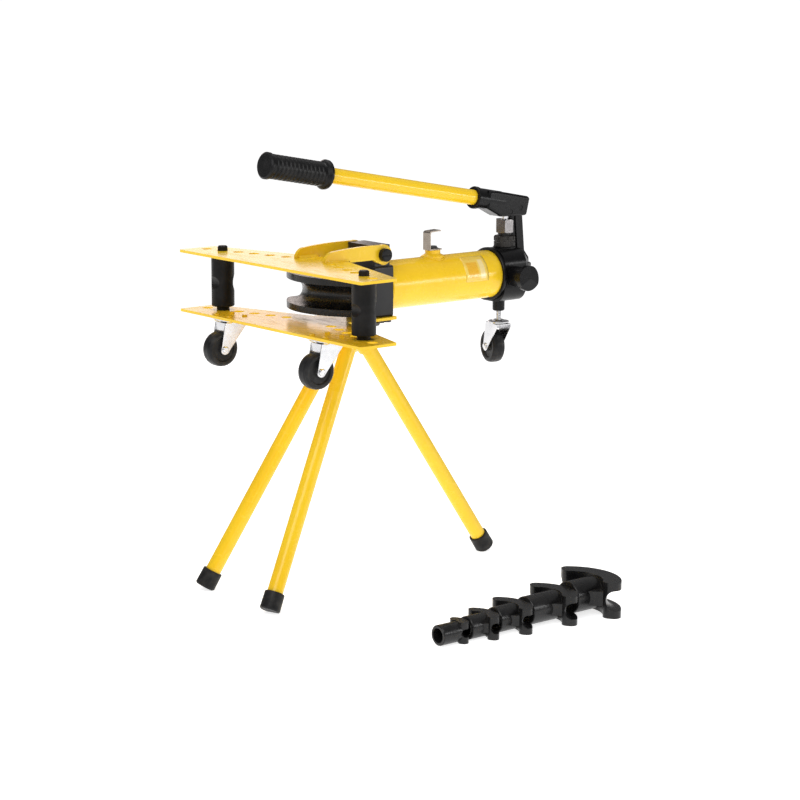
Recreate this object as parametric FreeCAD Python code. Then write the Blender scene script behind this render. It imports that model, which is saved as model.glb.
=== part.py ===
import FreeCAD, Part
import os
from math import atan, cos, radians, sin, sqrt

# Hydraulic pipe bender on a tripod, with casters and a set of dies. Millimetres.
# Working frame: X runs along the ram from the open front edge of the wing plates to the pump,
# Y runs across, Z is up. Z = 0 is the top face of the lower wing plate, Y = 0 the plane of symmetry.
# At export everything is shifted so that the origin is the middle of the overall box, on the floor.

# ---------------------------------------------------------------- driving dimensions
FLOOR_Z = -579.0          # floor under the foot caps
WING_SPAN = 640.0         # across both wings
WING_END = 92.0           # length of the cut wing ends
WING_BACK = 187.0         # depth of a plate at the middle
PLATE_T = 6.0
PLATE_GAP = 124.0         # between the two plates
TONGUE_END = 306.0
TONGUE_W = 120.0

HOLE_R = 11.5
HOLES_PER_WING = 6
HOLE_FIRST = (111.0, 78.0)
HOLE_STEP = (-11.6, 42.4)
ROLLER_HOLE = 4           # the fifth hole from the middle

RAM_Z = 60.0              # height of the ram axis above the lower plate
CYL_R = 53.0
CYL_WALL = 5.0
CYL_X0 = 301.0
CYL_X1 = 612.0
RING_X1 = 620.0
RING_R = 59.5

BLOCK_X0 = 251.0
BLOCK_HALF = 50.0
LUG_HALF = 45.4
BLOCK_SHOULDER = 110.0
BLOCK_TOP = 155.0
YOKE_PIN_X = 271.0
YOKE_PIN_Z = 135.5
YOKE_PIN_R = 9.0
YOKE_HEAD_R = 14.0
ARM_IN = 46.0
ARM_OUT = 54.0
ARM_FRONT = 114.0
ARM_END_R = 22.0
ARM_WELD = 5.0
BLOCK_BOLT_R = 5.0
BLOCK_BOLT_X = (272.0, 291.0)
BLOCK_BOLT_Y = 42.0

GLAND_R = 26.0             # guide bush in the block
ROD_R = 19.0
SPIGOT_R = 15.0
SPIGOT_L = 38.0
DIE_BORE_R = 15.05
BARREL_R = 35.0
BARREL_BORE = 27.5
PISTON_X0 = 568.0
PISTON_L = 34.0
SEAL_X0 = 580.0
SEAL_W = 8.0
SEAL_DEPTH = 4.4

PUMP_X = 663.0            # axis of the pump plunger
PUMP_REAR = 706.0
PUMP_TOP = 116.0
PUMP_HALF = 52.0
PUMP_CORNER = 34.0
PUMP_TAPER = 22.0         # length of the narrowing tail
PUMP_BOTTOM = -2.0
FULCRUM = (691.0, 205.0)
LINK_FOOT = (703.0, 78.0)
LINK_ROOM = 16.5          # free depth ahead of the link's foot
LEVER_ARM = 31.0          # fulcrum to plunger pin
CHEEK_OUT = 22.5          # half width of the lever's fork
CHEEK_IN = 15.0
SOCKET_R = 23.0
PIN_DROP = radians(13.0)  # the plunger pin sits this far below the fulcrum's level
LEVER_TILT = atan(0.18)
LEVER_OFFSET = 7.2        # tube centreline above the fulcrum, square to the tube
PLUNGER_R = 8.0
BARREL_BOSS_R = 26.0
BARREL_SEAT_Z = 118.0
BARREL_SHANK_R = 12.0
BARREL_SLEEVE_R = 14.5
GLAND_NUT_Z = 150.0
GLAND_NUT_AF = 38.0
GLAND_NUT_TURN = 20.8     # degrees, as tightened
PIN_R = 6.0
RUNNING = 0.05            # radial clearance of a running fit

TUBE_R = 17.0
TUBE_BORE = 14.5
TUBE_S0 = 66.0            # distances along the lever from the fulcrum
SET_SCREW_S = 107.0
SET_SCREW_R = 4.0
GRIP_S0 = 541.0
GRIP_S1 = 705.0
EYE_HALF = 8.0            # half thickness of the plunger's eye
SLOT_X = 1.45             # play of the plunger pin in its slot, each way along X
SLOT_Z = 0.35             # and along Z
STRAP_IN = 8.6
STRAP_OUT = 14.6
STRAP_R = 10.0
CHEEKS = (15.3, 23.0)      # of the body's fork at the link's foot

FILLER_X = 452.5
FILLER_TOP = 127.0
FILLER_BORE = 7.0
STRAP_T = 2.5
HOOK_HALF = 12.0          # half width of the hanger strap

KNOB_X = 650.0
KNOB_Z = 57.0
KNOB_R = 28.5
KNOB_BACK = -83.0         # the knob's rear face
NEEDLE_Y = -42.0          # tip of the release valve's needle
FACET_SLOPE = 13.0        # degrees
VALVE_BOSS_R = 23.0
STEM_FIT_R = 6.9

LEGS = ("far", "near", "rear")
FRONT_FOOT = (-81.5, 118.5)
REAR_FOOT = (615.0, 0.0)
FRONT_LEG_TOP = (212.0, 20.0, -38.0)
REAR_LEG_TOP = (254.5, 0.0, -48.9)
FRONT_FOOT_RISE = 7.0     # a leg's axis ends this far above the floor
REAR_FOOT_RISE = 9.0
CAP_WALL = 3.0
CAP_LENGTH = 39.0
SLEEVE_WALL = 5.0         # of a leg's socket in the tripod head
HEAD_X = 232.0
HEAD_BOTTOM = -50.0
HEAD_BOLT_X = 228.0
HEAD_BOLT_R = 5.0
CLAMP_SCREW = (258.0, 0.0, -20.0)

CASTER_X = 30.0
CASTER_Y = 170.0
CASTER_TRAIL = 28.0
WHEEL_R = 38.0
WHEEL_W = 30.0
FORK_DROP = 56.5          # fork top to axle
FORK_HALF = 19.0
FORK_WEB = 17.0           # depth of the sheet between a fork's sides
FORK_SHEET = 2.2
FRONT_FORK_TOP = -12.5
REAR_FORK_TOP = -54.5
AXLE_R = 4.0
SWIVEL_R = 6.0
MOUNT_T = 2.5             # mounting plate of a front caster
CASTER_BOLT_R = 3.0
BOLT_SPREAD = (20.0, 24.0)
STEM_X = 648.0
STEM_R = 5.0
REAR_SWIVEL = -105.0

ROLLER_R = 25.0
SHOULDER_R = 14.0
TRUNNION_R = 10.9
ROLLER_SADDLES = (20.0, 22.0)
SADDLE_Z = 61.0

# pipe radius, rim radius, half angle of the rim, thickness, boss radius and length of each die
MOUNTED_DIE = (24.2, 162.0, 55.0, 78.0, 30.0, 135.8)
LOOSE_DIES = {
    "loose_die_1": (8.7, 33.5, 60.0, 44.0, 21.0, 70.0),
    "loose_die_2": (10.8, 55.0, 59.0, 48.0, 23.9, 71.0),
    "loose_die_3": (13.6, 72.0, 58.0, 54.0, 26.5, 81.0),
    "loose_die_4": (17.0, 83.5, 60.0, 62.0, 30.0, 117.0),
    "loose_die_5": (21.3, 105.0, 60.0, 76.0, 34.0, 113.0),
}
LIP_ROUND = 0.42          # corner radius of a rim's ends, as a part of the rim's depth
DIE_FRONT_X = 93.0
LOOSE_FRONTS = (115.0, 189.0, 273.0, 393.0, 509.0)
LOOSE_Y = -509.6


# ---------------------------------------------------------------- small helpers
def vec(x, y, z):
    return FreeCAD.Vector(x, y, z)


def cyl(r, start, direction, length):
    return Part.makeCylinder(r, length, vec(*start), vec(*direction))


def cone(r0, r1, start, direction, length):
    return Part.makeCone(r0, r1, length, vec(*start), vec(*direction))


def tube(r_out, r_in, start, direction, length):
    return cyl(r_out, start, direction, length).cut(cyl(r_in, start, direction, length))


def box(x0, x1, y0, y1, z0, z1):
    return Part.makeBox(x1 - x0, y1 - y0, z1 - z0, vec(x0, y0, z0))


def rounded_box(x0, x1, y0, y1, z0, z1, r, axis):
    """A box whose four edges along one axis are rounded."""
    solid = box(x0, x1, y0, y1, z0, z1)
    edges = []
    for edge in solid.Edges:
        run = edge.Vertexes[1].Point.sub(edge.Vertexes[0].Point)
        along = {"x": run.x, "y": run.y, "z": run.z}[axis]
        if abs(abs(along) - run.Length) < 1e-6:
            edges.append(edge)
    return solid.makeFillet(r, edges)


def prism(points, push):
    wire = Part.makePolygon([vec(*p) for p in points] + [vec(*points[0])])
    return Part.Face(wire).extrude(vec(*push))


def plate_outline(points, z, height, corner):
    """A flat plate from plan points, its upright corners rounded."""
    solid = prism([(x, y, z) for x, y in points], (0, 0, height))
    upright = []
    for edge in solid.Edges:
        a, b = edge.Vertexes[0].Point, edge.Vertexes[1].Point
        if abs(a.x - b.x) < 1e-6 and abs(a.y - b.y) < 1e-6:
            upright.append(edge)
    return solid.makeFillet(corner, upright)


def hexagon(across, start, axis, height):
    """A hexagonal prism along X, Y or Z, with both end faces chamfered."""
    radius = across / sqrt(3)
    ring = []
    for i in range(6):
        a, b = radius * cos(radians(60 * i + 30)), radius * sin(radians(60 * i + 30))
        ring.append({"x": (0, a, b), "y": (a, 0, b), "z": (a, b, 0)}[axis])
    push = {"x": (height, 0, 0), "y": (0, height, 0), "z": (0, 0, height)}[axis]
    solid = prism([tuple(s + p for s, p in zip(start, point)) for point in ring], push)
    unit = tuple(1 if p > 0 else (-1 if p < 0 else 0) for p in push)
    size = abs(height)
    rim = across / 2 + 0.35 * (radius - across / 2)
    slope = (radius + 1.0) - rim
    low = tuple(s + u * slope for s, u in zip(start, unit))
    high = tuple(s + u * (size - slope) for s, u in zip(start, unit))
    keep = cone(rim, radius + 1.0, start, unit, slope)
    if size > 2 * slope + 0.1:
        keep = keep.fuse(cyl(radius + 1.0, low, unit, size - 2 * slope))
    keep = keep.fuse(cone(radius + 1.0, rim, high, unit, slope))
    return solid.common(keep).removeSplitter()


def turned(profile, start, direction):
    """A turned piece: profile is (distance, radius) pairs along an axis, distances rising."""
    pts = [vec(0, 0, profile[0][0])] + [vec(r, 0, d) for d, r in profile] + [vec(0, 0, profile[-1][0])]
    face = Part.Face(Part.makePolygon(pts + [pts[0]]))
    solid = face.revolve(vec(0, 0, 0), vec(0, 0, 1), 360)
    if solid.Volume < 0:
        solid.reverse()
    turn = FreeCAD.Rotation(vec(0, 0, 1), vec(*direction))
    return solid.transformed(FreeCAD.Placement(vec(*start), turn).toMatrix())


def mirrored_y(shape):
    return shape.mirror(vec(0, 0, 0), vec(0, 1, 0))


def merged(shapes):
    result = shapes[0]
    for shape in shapes[1:]:
        result = result.fuse(shape)
    return result.removeSplitter()


def hole_places():
    return [(HOLE_FIRST[0] + i * HOLE_STEP[0], HOLE_FIRST[1] + i * HOLE_STEP[1])
            for i in range(HOLES_PER_WING)]


# ---------------------------------------------------------------- wing plates and yoke
def wing_outline():
    half = WING_SPAN / 2
    return [(0, -half), (WING_END, -half), (WING_BACK, 0), (WING_END, half), (0, half)]


def drilled(plate, z, height):
    for x, y in hole_places():
        for side in (-1, 1):
            plate = plate.cut(cyl(HOLE_R, (x, side * y, z - 1), (0, 0, 1), height + 2))
    return plate


def lower_wing_plate():
    plate = plate_outline(wing_outline(), -PLATE_T, PLATE_T, 4.0)
    tongue = rounded_box(140, TONGUE_END, -TONGUE_W / 2, TONGUE_W / 2, -PLATE_T, 0, 6.0, "z")
    plate = drilled(plate.fuse(tongue).removeSplitter(), -PLATE_T, PLATE_T)
    for x, y in block_bolt_places():
        plate = plate.cut(cyl(BLOCK_BOLT_R, (x, y, -PLATE_T - 1), (0, 0, 1), PLATE_T + 2))
    for x, y in caster_bolt_places():
        plate = plate.cut(cyl(CASTER_BOLT_R, (x, y, -PLATE_T - 1), (0, 0, 1), PLATE_T + 2))
    return plate


def upper_wing_plate():
    plate = plate_outline(wing_outline(), PLATE_GAP, PLATE_T, 4.0)
    return drilled(plate, PLATE_GAP, PLATE_T)


def yoke_arm():
    """Upright strip welded on the upper plate, with a round eye at its rear end."""
    top = PLATE_GAP + PLATE_T
    weld_front = ARM_FRONT + 6

    def at(x, z):
        return vec(x, ARM_IN, z)

    start = at(ARM_FRONT, top)
    shoulder = at(ARM_FRONT + 24, top + 22)
    eye_top = at(YOKE_PIN_X - 6, YOKE_PIN_Z + ARM_END_R - 0.8)
    eye_low = at(YOKE_PIN_X, YOKE_PIN_Z - ARM_END_R)
    wire = Part.Wire([
        Part.LineSegment(start, at(ARM_FRONT, top + 4)).toShape(),
        Part.Arc(at(ARM_FRONT, top + 4), at(ARM_FRONT + 8, top + 16), shoulder).toShape(),
        Part.Arc(shoulder, at(195, top + 26.2), eye_top).toShape(),
        Part.Arc(eye_top, at(YOKE_PIN_X + ARM_END_R, YOKE_PIN_Z), eye_low).toShape(),
        Part.Arc(eye_low, at(258, 118.2), at(243, 126)).toShape(),
        Part.LineSegment(at(243, 126), at(182, 126)).toShape(),
        Part.LineSegment(at(182, 126), at(178, top)).toShape(),
        Part.LineSegment(at(178, top), start).toShape(),
    ])
    arm = Part.Face(wire).extrude(vec(0, ARM_OUT - ARM_IN, 0))
    arm = arm.cut(cyl(YOKE_PIN_R + RUNNING, (YOKE_PIN_X, ARM_IN - 1, YOKE_PIN_Z), (0, 1, 0), 12))
    weld = prism([(weld_front, ARM_IN, top), (weld_front, ARM_IN - ARM_WELD, top),
                  (weld_front, ARM_IN, top + ARM_WELD)], (48, 0, 0))
    return arm.fuse(weld).removeSplitter()


def yoke_arms():
    arm = yoke_arm()
    return Part.makeCompound([arm, mirrored_y(arm)])


def yoke_pins():
    """Two shouldered pins screwed into the block's lug, with large round heads."""
    inner, head, end = 30.0, ARM_OUT + 0.6, 68.0
    pin = turned([(inner, YOKE_PIN_R), (head, YOKE_PIN_R), (head, YOKE_HEAD_R), (end - 2, YOKE_HEAD_R),
                  (end, YOKE_HEAD_R - 2)], (YOKE_PIN_X, 0, YOKE_PIN_Z), (0, 1, 0))
    slot = box(YOKE_PIN_X - 16, YOKE_PIN_X + 16, end - 2.5, end + 2, YOKE_PIN_Z - 1.5, YOKE_PIN_Z + 1.5)
    pin = pin.cut(slot)
    return Part.makeCompound([pin, mirrored_y(pin)])


# ---------------------------------------------------------------- block, cylinder and ram
def block_bolt_places():
    return [(x, y) for x in BLOCK_BOLT_X for y in (-BLOCK_BOLT_Y, BLOCK_BOLT_Y)]


def front_block():
    body = rounded_box(BLOCK_X0, CYL_X0, -BLOCK_HALF, BLOCK_HALF, 0, BLOCK_SHOULDER, 5.0, "x")
    lug = box(BLOCK_X0, CYL_X0 - 4, -LUG_HALF, LUG_HALF, BLOCK_SHOULDER - 12, BLOCK_TOP)
    lug_height = BLOCK_TOP - BLOCK_SHOULDER + 12
    upright = [e for e in lug.Edges if abs(e.Length - lug_height) < 1e-6]
    lug = lug.makeChamfer(3.0, upright)
    block = body.fuse(lug).removeSplitter()
    block = block.cut(cyl(GLAND_R, (BLOCK_X0 - 1, 0, RAM_Z), (1, 0, 0), 60))
    for side in (-1, 1):
        block = block.cut(cyl(YOKE_PIN_R, (YOKE_PIN_X, side * 30, YOKE_PIN_Z), (0, side, 0), 30))
    for x, y in block_bolt_places():
        block = block.cut(cyl(BLOCK_BOLT_R, (x, y, 0), (0, 0, 1), 18))
    return block


def block_bolts():
    bolts = []
    for x, y in block_bolt_places():
        head = hexagon(16.0, (x, y, -PLATE_T), "z", -6.4)
        bolts.append(merged([head, cyl(BLOCK_BOLT_R, (x, y, -PLATE_T), (0, 0, 1), 24.0)]))
    return Part.makeCompound(bolts)


def gland_bush():
    """Bronze guide of the ram rod, pressed into the block, with a lip at the front."""
    bush = tube(GLAND_R, ROD_R + RUNNING, (BLOCK_X0, 0, RAM_Z), (1, 0, 0), CYL_X0 - BLOCK_X0)
    lip = tube(GLAND_R + 4, ROD_R + RUNNING, (BLOCK_X0 - 4, 0, RAM_Z), (1, 0, 0), 4)
    return merged([bush, lip])


def cylinder_tube():
    """Outer tube, the oil reservoir, with a hole under the filler neck."""
    length = CYL_X1 - CYL_X0
    shell = turned([(0, CYL_R - 2), (2, CYL_R), (length, CYL_R)], (CYL_X0, 0, RAM_Z), (1, 0, 0))
    shell = shell.cut(cyl(CYL_R - CYL_WALL, (CYL_X0 - 1, 0, RAM_Z), (1, 0, 0), length + 2))
    return shell.cut(cyl(FILLER_BORE, (FILLER_X, 0, RAM_Z), (0, 0, 1), 80))


def pressure_barrel():
    return tube(BARREL_R, BARREL_BORE, (CYL_X0, 0, RAM_Z), (1, 0, 0), CYL_X1 - CYL_X0)


def end_ring():
    width = RING_X1 - CYL_X1
    ring = turned([(0, RING_R - 1.5), (1.5, RING_R), (width - 1.5, RING_R), (width, RING_R - 1.5)],
                  (CYL_X1, 0, RAM_Z), (1, 0, 0))
    return ring.cut(cyl(30.0, (CYL_X1 - 1, 0, RAM_Z), (1, 0, 0), 20))


def ram_rod():
    """Rod from the piston to the spigot that carries the die."""
    start = BLOCK_X0 - 22 - SPIGOT_L
    return turned([(0, SPIGOT_R - 1.5), (1.5, SPIGOT_R), (SPIGOT_L, SPIGOT_R), (SPIGOT_L, ROD_R),
                   (PISTON_X0 - start, ROD_R)], (start, 0, RAM_Z), (1, 0, 0))


def piston_head():
    head = cyl(BARREL_BORE - 0.4, (PISTON_X0, 0, RAM_Z), (1, 0, 0), PISTON_L)
    groove = tube(BARREL_BORE + 1, BARREL_BORE - SEAL_DEPTH, (SEAL_X0, 0, RAM_Z), (1, 0, 0), SEAL_W)
    return head.cut(groove)


def piston_seal():
    return tube(BARREL_BORE - RUNNING, BARREL_BORE - SEAL_DEPTH, (SEAL_X0, 0, RAM_Z), (1, 0, 0), SEAL_W)


def return_spring():
    """Coil spring round the rod, between the block and the piston."""
    start, end = CYL_X0 + 4, PISTON_X0 - 3
    coil_r, wire_r, turns = 23.4, 2.0, 14
    helix = Part.makeHelix((end - start) / turns, end - start, coil_r)
    ring = Part.Wire(Part.makeCircle(wire_r, vec(coil_r, 0, 0), vec(0, 1, 0)))
    spring = Part.Wire(helix).makePipeShell([ring], True, True)
    turn = FreeCAD.Rotation(vec(0, 0, 1), vec(1, 0, 0))
    return spring.transformed(FreeCAD.Placement(vec(start, 0, RAM_Z), turn).toMatrix())


# ---------------------------------------------------------------- dies
def die(pipe_r, rim_r, half_angle, thick, boss_r, length):
    """A bending former with its front at the origin, facing -X: an arc segment with a pipe groove
    round its rim, a web behind it, and a round boss with the socket for the ram."""
    half = radians(half_angle)
    wall = pipe_r * 1.35 + 9
    inner_r = rim_r - wall
    low = -thick / 2

    def at(radius, angle):
        return vec(rim_r - radius * cos(angle), radius * sin(angle), low)

    rim = Part.Wire([
        Part.Arc(at(rim_r, -half), at(rim_r, 0), at(rim_r, half)).toShape(),
        Part.LineSegment(at(rim_r, half), at(inner_r, half)).toShape(),
        Part.Arc(at(inner_r, half), at(inner_r, 0), at(inner_r, -half)).toShape(),
        Part.LineSegment(at(inner_r, -half), at(rim_r, -half)).toShape(),
    ])
    body = Part.Face(rim).extrude(vec(0, 0, thick))
    ends = [edge for edge in body.Edges if abs(edge.Length - thick) < 1e-6]
    body = body.makeFillet(wall * LIP_ROUND, ends)
    web_half = thick * 0.2
    tip = at(rim_r - wall * 0.5, half * 0.86)
    foot_x = min(length - 8, rim_r * (1 - cos(half)) + boss_r)
    foot_y = boss_r * 0.8
    web = prism([(tip.x, tip.y, -web_half), (foot_x, foot_y, -web_half), (foot_x, -foot_y, -web_half),
                 (tip.x, -tip.y, -web_half), (wall * 0.7, 0, -web_half)], (0, 0, 2 * web_half))
    boss = turned([(wall * 0.6, boss_r), (length - 1.5, boss_r), (length, boss_r - 1.5)],
                  (0, 0, 0), (1, 0, 0))
    solid = merged([body, boss, web])
    seat = rim_r - 0.4 * pipe_r
    mouth = 1.05 * pipe_r
    groove = Part.Face(Part.Wire([
        Part.Arc(vec(seat, 0, -pipe_r), vec(seat - pipe_r, 0, 0), vec(seat, 0, pipe_r)).toShape(),
        Part.LineSegment(vec(seat, 0, pipe_r), vec(rim_r + 5, 0, mouth)).toShape(),
        Part.LineSegment(vec(rim_r + 5, 0, mouth), vec(rim_r + 5, 0, -mouth)).toShape(),
        Part.LineSegment(vec(rim_r + 5, 0, -mouth), vec(seat, 0, -pipe_r)).toShape(),
    ])).revolve(vec(0, 0, 0), vec(0, 0, 1), 360)
    groove.translate(vec(rim_r, 0, 0))
    groove = groove.common(box(-10, rim_r, -2 * rim_r, 2 * rim_r, -thick, thick))
    solid = solid.cut(groove)
    solid = solid.cut(cyl(DIE_BORE_R, (length - SPIGOT_L - 1, 0, 0), (1, 0, 0), SPIGOT_L + 2))
    return max(solid.Solids, key=lambda piece: piece.Volume)


def bending_die():
    former = die(*MOUNTED_DIE)
    former.translate(vec(DIE_FRONT_X, 0, RAM_Z))
    return former


def loose_die(name, front):
    """A die lying flat on the floor in the nested row, its rim towards +X."""
    former = die(*LOOSE_DIES[name])
    former.rotate(vec(0, 0, 0), vec(0, 0, 1), 180)
    thick = LOOSE_DIES[name][3]
    former.translate(vec(front, LOOSE_Y, FLOOR_Z + thick / 2))
    return former


# ---------------------------------------------------------------- rollers
def roller(side):
    """Counter roller with a trunnion at each end and pipe saddles across its two faces."""
    x, y = hole_places()[ROLLER_HOLE]
    y = side * y
    top = PLATE_GAP - 0.5
    body = turned([(-9, TRUNNION_R - 1.5), (-7.5, TRUNNION_R), (0.4, TRUNNION_R), (0.4, SHOULDER_R),
                   (9, SHOULDER_R), (9, ROLLER_R - 1.5), (10.5, ROLLER_R), (119.5, ROLLER_R),
                   (121, ROLLER_R - 1.5), (121, SHOULDER_R), (top, SHOULDER_R), (top, TRUNNION_R),
                   (top + 15, TRUNNION_R), (top + 17.5, TRUNNION_R - 2.5)], (x, y, 0), (0, 0, 1))
    front, rear = ROLLER_SADDLES
    body = body.cut(cyl(rear, (x + 33, y - 40, SADDLE_Z), (0, 1, 0), 80))
    return body.cut(cyl(front, (x - 40, y - 40, SADDLE_Z), (0, 1, 0), 80))


# ---------------------------------------------------------------- pump, lever and linkage
def pump_body():
    """Cast body: a square block with big corner radii, a boss for the plunger, one for the release
    valve, and a fork at the rear for the link."""
    tail_x = PUMP_REAR - PUMP_TAPER
    body = rounded_box(RING_X1, tail_x, -PUMP_HALF, PUMP_HALF, PUMP_BOTTOM, PUMP_TOP, PUMP_CORNER, "x")
    tail = Part.makeLoft([rounded_section(tail_x, PUMP_HALF, PUMP_BOTTOM, PUMP_TOP, PUMP_CORNER),
                          rounded_section(PUMP_REAR, PUMP_HALF - 16, PUMP_BOTTOM + 16, PUMP_TOP - 16,
                                          PUMP_CORNER - 10)], True)
    body = body.fuse(tail)
    body = body.fuse(cyl(BARREL_BOSS_R, (PUMP_X, 0, 90), (0, 0, 1), BARREL_SEAT_Z - 90))
    body = body.fuse(cyl(VALVE_BOSS_R, (KNOB_X, -40, KNOB_Z), (0, -1, 0), 42))
    side_view = [(684, 60), (684, 112), (700, 112), (716, 92), (718, 70), (712, 60)]
    for side in (-1, 1):
        near, far = side * CHEEKS[0], side * CHEEKS[1]
        body = body.fuse(prism([(x, near, z) for x, z in side_view], (0, far - near, 0)))
    body = body.removeSplitter()
    body = body.cut(box(LINK_FOOT[0] - LINK_ROOM, 760, -CHEEKS[0], CHEEKS[0], LINK_FOOT[1] - 14, 140))
    body = body.cut(cyl(PIN_R, (LINK_FOOT[0], -60, LINK_FOOT[1]), (0, 1, 0), 120))
    body = body.cut(cyl(BARREL_SHANK_R, (PUMP_X, 0, 76), (0, 0, 1), 60))
    body = body.cut(cyl(PLUNGER_R + 0.5, (PUMP_X, 0, 40), (0, 0, 1), 50))
    body = body.cut(cyl(5.0, (PUMP_X, 0, 20), (0, 0, 1), 21))
    body = body.cut(cyl(7.0, (KNOB_X, -100, KNOB_Z), (0, 1, 0), 60))
    body = body.cut(cyl(STEM_R, (STEM_X, 0, PUMP_BOTTOM - 1), (0, 0, 1), 16))
    body = body.cut(cyl(8.0, (RING_X1 - 1, 0, RAM_Z), (1, 0, 0), 20))
    return max(body.Solids, key=lambda piece: piece.Volume)


def rounded_section(x, half, low, high, r):
    """The outline of a rounded rectangle in the plane X = x."""
    k = r * (1 - sqrt(0.5))
    y0, y1 = -half, half
    edges = [
        Part.LineSegment(vec(x, y0 + r, low), vec(x, y1 - r, low)),
        Part.Arc(vec(x, y1 - r, low), vec(x, y1 - k, low + k), vec(x, y1, low + r)),
        Part.LineSegment(vec(x, y1, low + r), vec(x, y1, high - r)),
        Part.Arc(vec(x, y1, high - r), vec(x, y1 - k, high - k), vec(x, y1 - r, high)),
        Part.LineSegment(vec(x, y1 - r, high), vec(x, y0 + r, high)),
        Part.Arc(vec(x, y0 + r, high), vec(x, y0 + k, high - k), vec(x, y0, high - r)),
        Part.LineSegment(vec(x, y0, high - r), vec(x, y0, low + r)),
        Part.Arc(vec(x, y0, low + r), vec(x, y0 + k, low + k), vec(x, y0 + r, low)),
    ]
    return Part.Wire([edge.toShape() for edge in edges])


def pump_barrel():
    """Threaded sleeve screwed into the body; the plunger runs in it."""
    barrel = turned([(76, BARREL_SHANK_R), (BARREL_SEAT_Z, BARREL_SHANK_R), (BARREL_SEAT_Z, BARREL_SLEEVE_R),
                     (164, BARREL_SLEEVE_R), (166, BARREL_SLEEVE_R - 2)], (PUMP_X, 0, 0), (0, 0, 1))
    return barrel.cut(cyl(PLUNGER_R + RUNNING, (PUMP_X, 0, 70), (0, 0, 1), 100))


def barrel_locknut():
    """Castellated ring nut that locks the barrel to the body."""
    nut = turned([(0, 22), (2, 24), (11, 24), (11, 22.4), (14, 22.4), (14, 24), (23, 24), (25, 22)],
                 (PUMP_X, 0, BARREL_SEAT_Z), (0, 0, 1))
    for i in range(8):
        notch = box(20.5, 30, -3, 3, 134, 145)
        notch.rotate(vec(0, 0, 0), vec(0, 0, 1), 45 * i + 20)
        notch.translate(vec(PUMP_X, 0, 0))
        nut = nut.cut(notch)
    return nut.cut(cyl(BARREL_SLEEVE_R, (PUMP_X, 0, 110), (0, 0, 1), 40))


def gland_nut():
    """Hexagon nut that presses the plunger's seal on the barrel."""
    nut = hexagon(GLAND_NUT_AF, (PUMP_X, 0, GLAND_NUT_Z), "z", 30)
    nut.rotate(vec(PUMP_X, 0, 0), vec(0, 0, 1), GLAND_NUT_TURN)
    nut = nut.cut(cyl(BARREL_SLEEVE_R, (PUMP_X, 0, GLAND_NUT_Z - 1), (0, 0, 1), 22))
    return nut.cut(cyl(PLUNGER_R + 0.4, (PUMP_X, 0, GLAND_NUT_Z + 10), (0, 0, 1), 30))


def plunger_seal():
    return tube(BARREL_SLEEVE_R, PLUNGER_R + RUNNING, (PUMP_X, 0, 166), (0, 0, 1), 5)


def check_valve_balls():
    """Inlet ball under the plunger and outlet ball in the passage to the ram."""
    balls = [Part.makeSphere(4.6, vec(PUMP_X, 0, 30)), Part.makeSphere(6.5, vec(RING_X1 + 8, 0, RAM_Z))]
    return Part.makeCompound(balls)


def lever_axis():
    """Unit vectors along the lever, towards the grip, and square to it, upwards."""
    along = (-cos(LEVER_TILT), 0.0, sin(LEVER_TILT))
    upright = (sin(LEVER_TILT), 0.0, cos(LEVER_TILT))
    return along, upright


def on_lever(s, w=0.0, y=0.0):
    """A point at distance s along the tube's centreline and w above it."""
    along, upright = lever_axis()
    up = w + LEVER_OFFSET
    return (FULCRUM[0] + s * along[0] + up * upright[0], y, FULCRUM[1] + s * along[2] + up * upright[2])


def down_on_tube():
    """Unit vector square to the tube, downwards."""
    return tuple(-u for u in lever_axis()[1])


def plunger_pin_place():
    """The plunger pin, ahead of the fulcrum and a little below it."""
    return (FULCRUM[0] - LEVER_ARM * cos(PIN_DROP), FULCRUM[1] - LEVER_ARM * sin(PIN_DROP))


def lever_socket():
    """Forged socket: a round sleeve for the tube, and behind it a fork over the plunger and the link."""
    along = lever_axis()[0]
    sleeve = cyl(SOCKET_R, on_lever(48), along, 76)
    collar = turned([(0, 23.5), (2, 25), (9, 25), (11, 23.5)], on_lever(116), along)
    outline = [on_lever(-22, 16), on_lever(-18, 21), on_lever(70, 22), on_lever(98, 20), on_lever(98, -20),
               (634, 0, 188.5), (704, 0, 186.5), (708, 0, 189)]
    fork = prism([(p[0], -CHEEK_OUT, p[2]) for p in outline], (0, 2 * CHEEK_OUT, 0))
    long_edges = [e for e in fork.Edges if abs(e.Vertexes[0].Y - e.Vertexes[1].Y) < 1e-6 and e.Length > 40]
    fork = fork.makeFillet(6.0, long_edges)
    body = merged([fork, sleeve, collar])
    gap_outline = [on_lever(-60, 13), on_lever(54, 13), on_lever(54, -60), on_lever(-60, -60)]
    body = body.cut(prism([(p[0], -CHEEK_IN, p[2]) for p in gap_outline], (0, 2 * CHEEK_IN, 0)))
    body = body.cut(cyl(TUBE_R + 0.06, on_lever(TUBE_S0 - 2), along, 100))
    pin_x, pin_z = plunger_pin_place()
    body = body.cut(cyl(PIN_R, (pin_x, -30, pin_z), (0, 1, 0), 60))
    body = body.cut(cyl(PIN_R, (FULCRUM[0], -30, FULCRUM[1]), (0, 1, 0), 60))
    body = body.cut(cyl(SET_SCREW_R, on_lever(SET_SCREW_S, 30), down_on_tube(), 14))
    return max(body.Solids, key=lambda piece: piece.Volume)


def lever_pins():
    """Fulcrum and plunger pins, pressed in the socket's cheeks."""
    half = CHEEK_OUT - 1
    return Part.makeCompound([cyl(PIN_R, (x, -half, z), (0, 1, 0), 2 * half)
                              for x, z in (FULCRUM, plunger_pin_place())])


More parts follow.
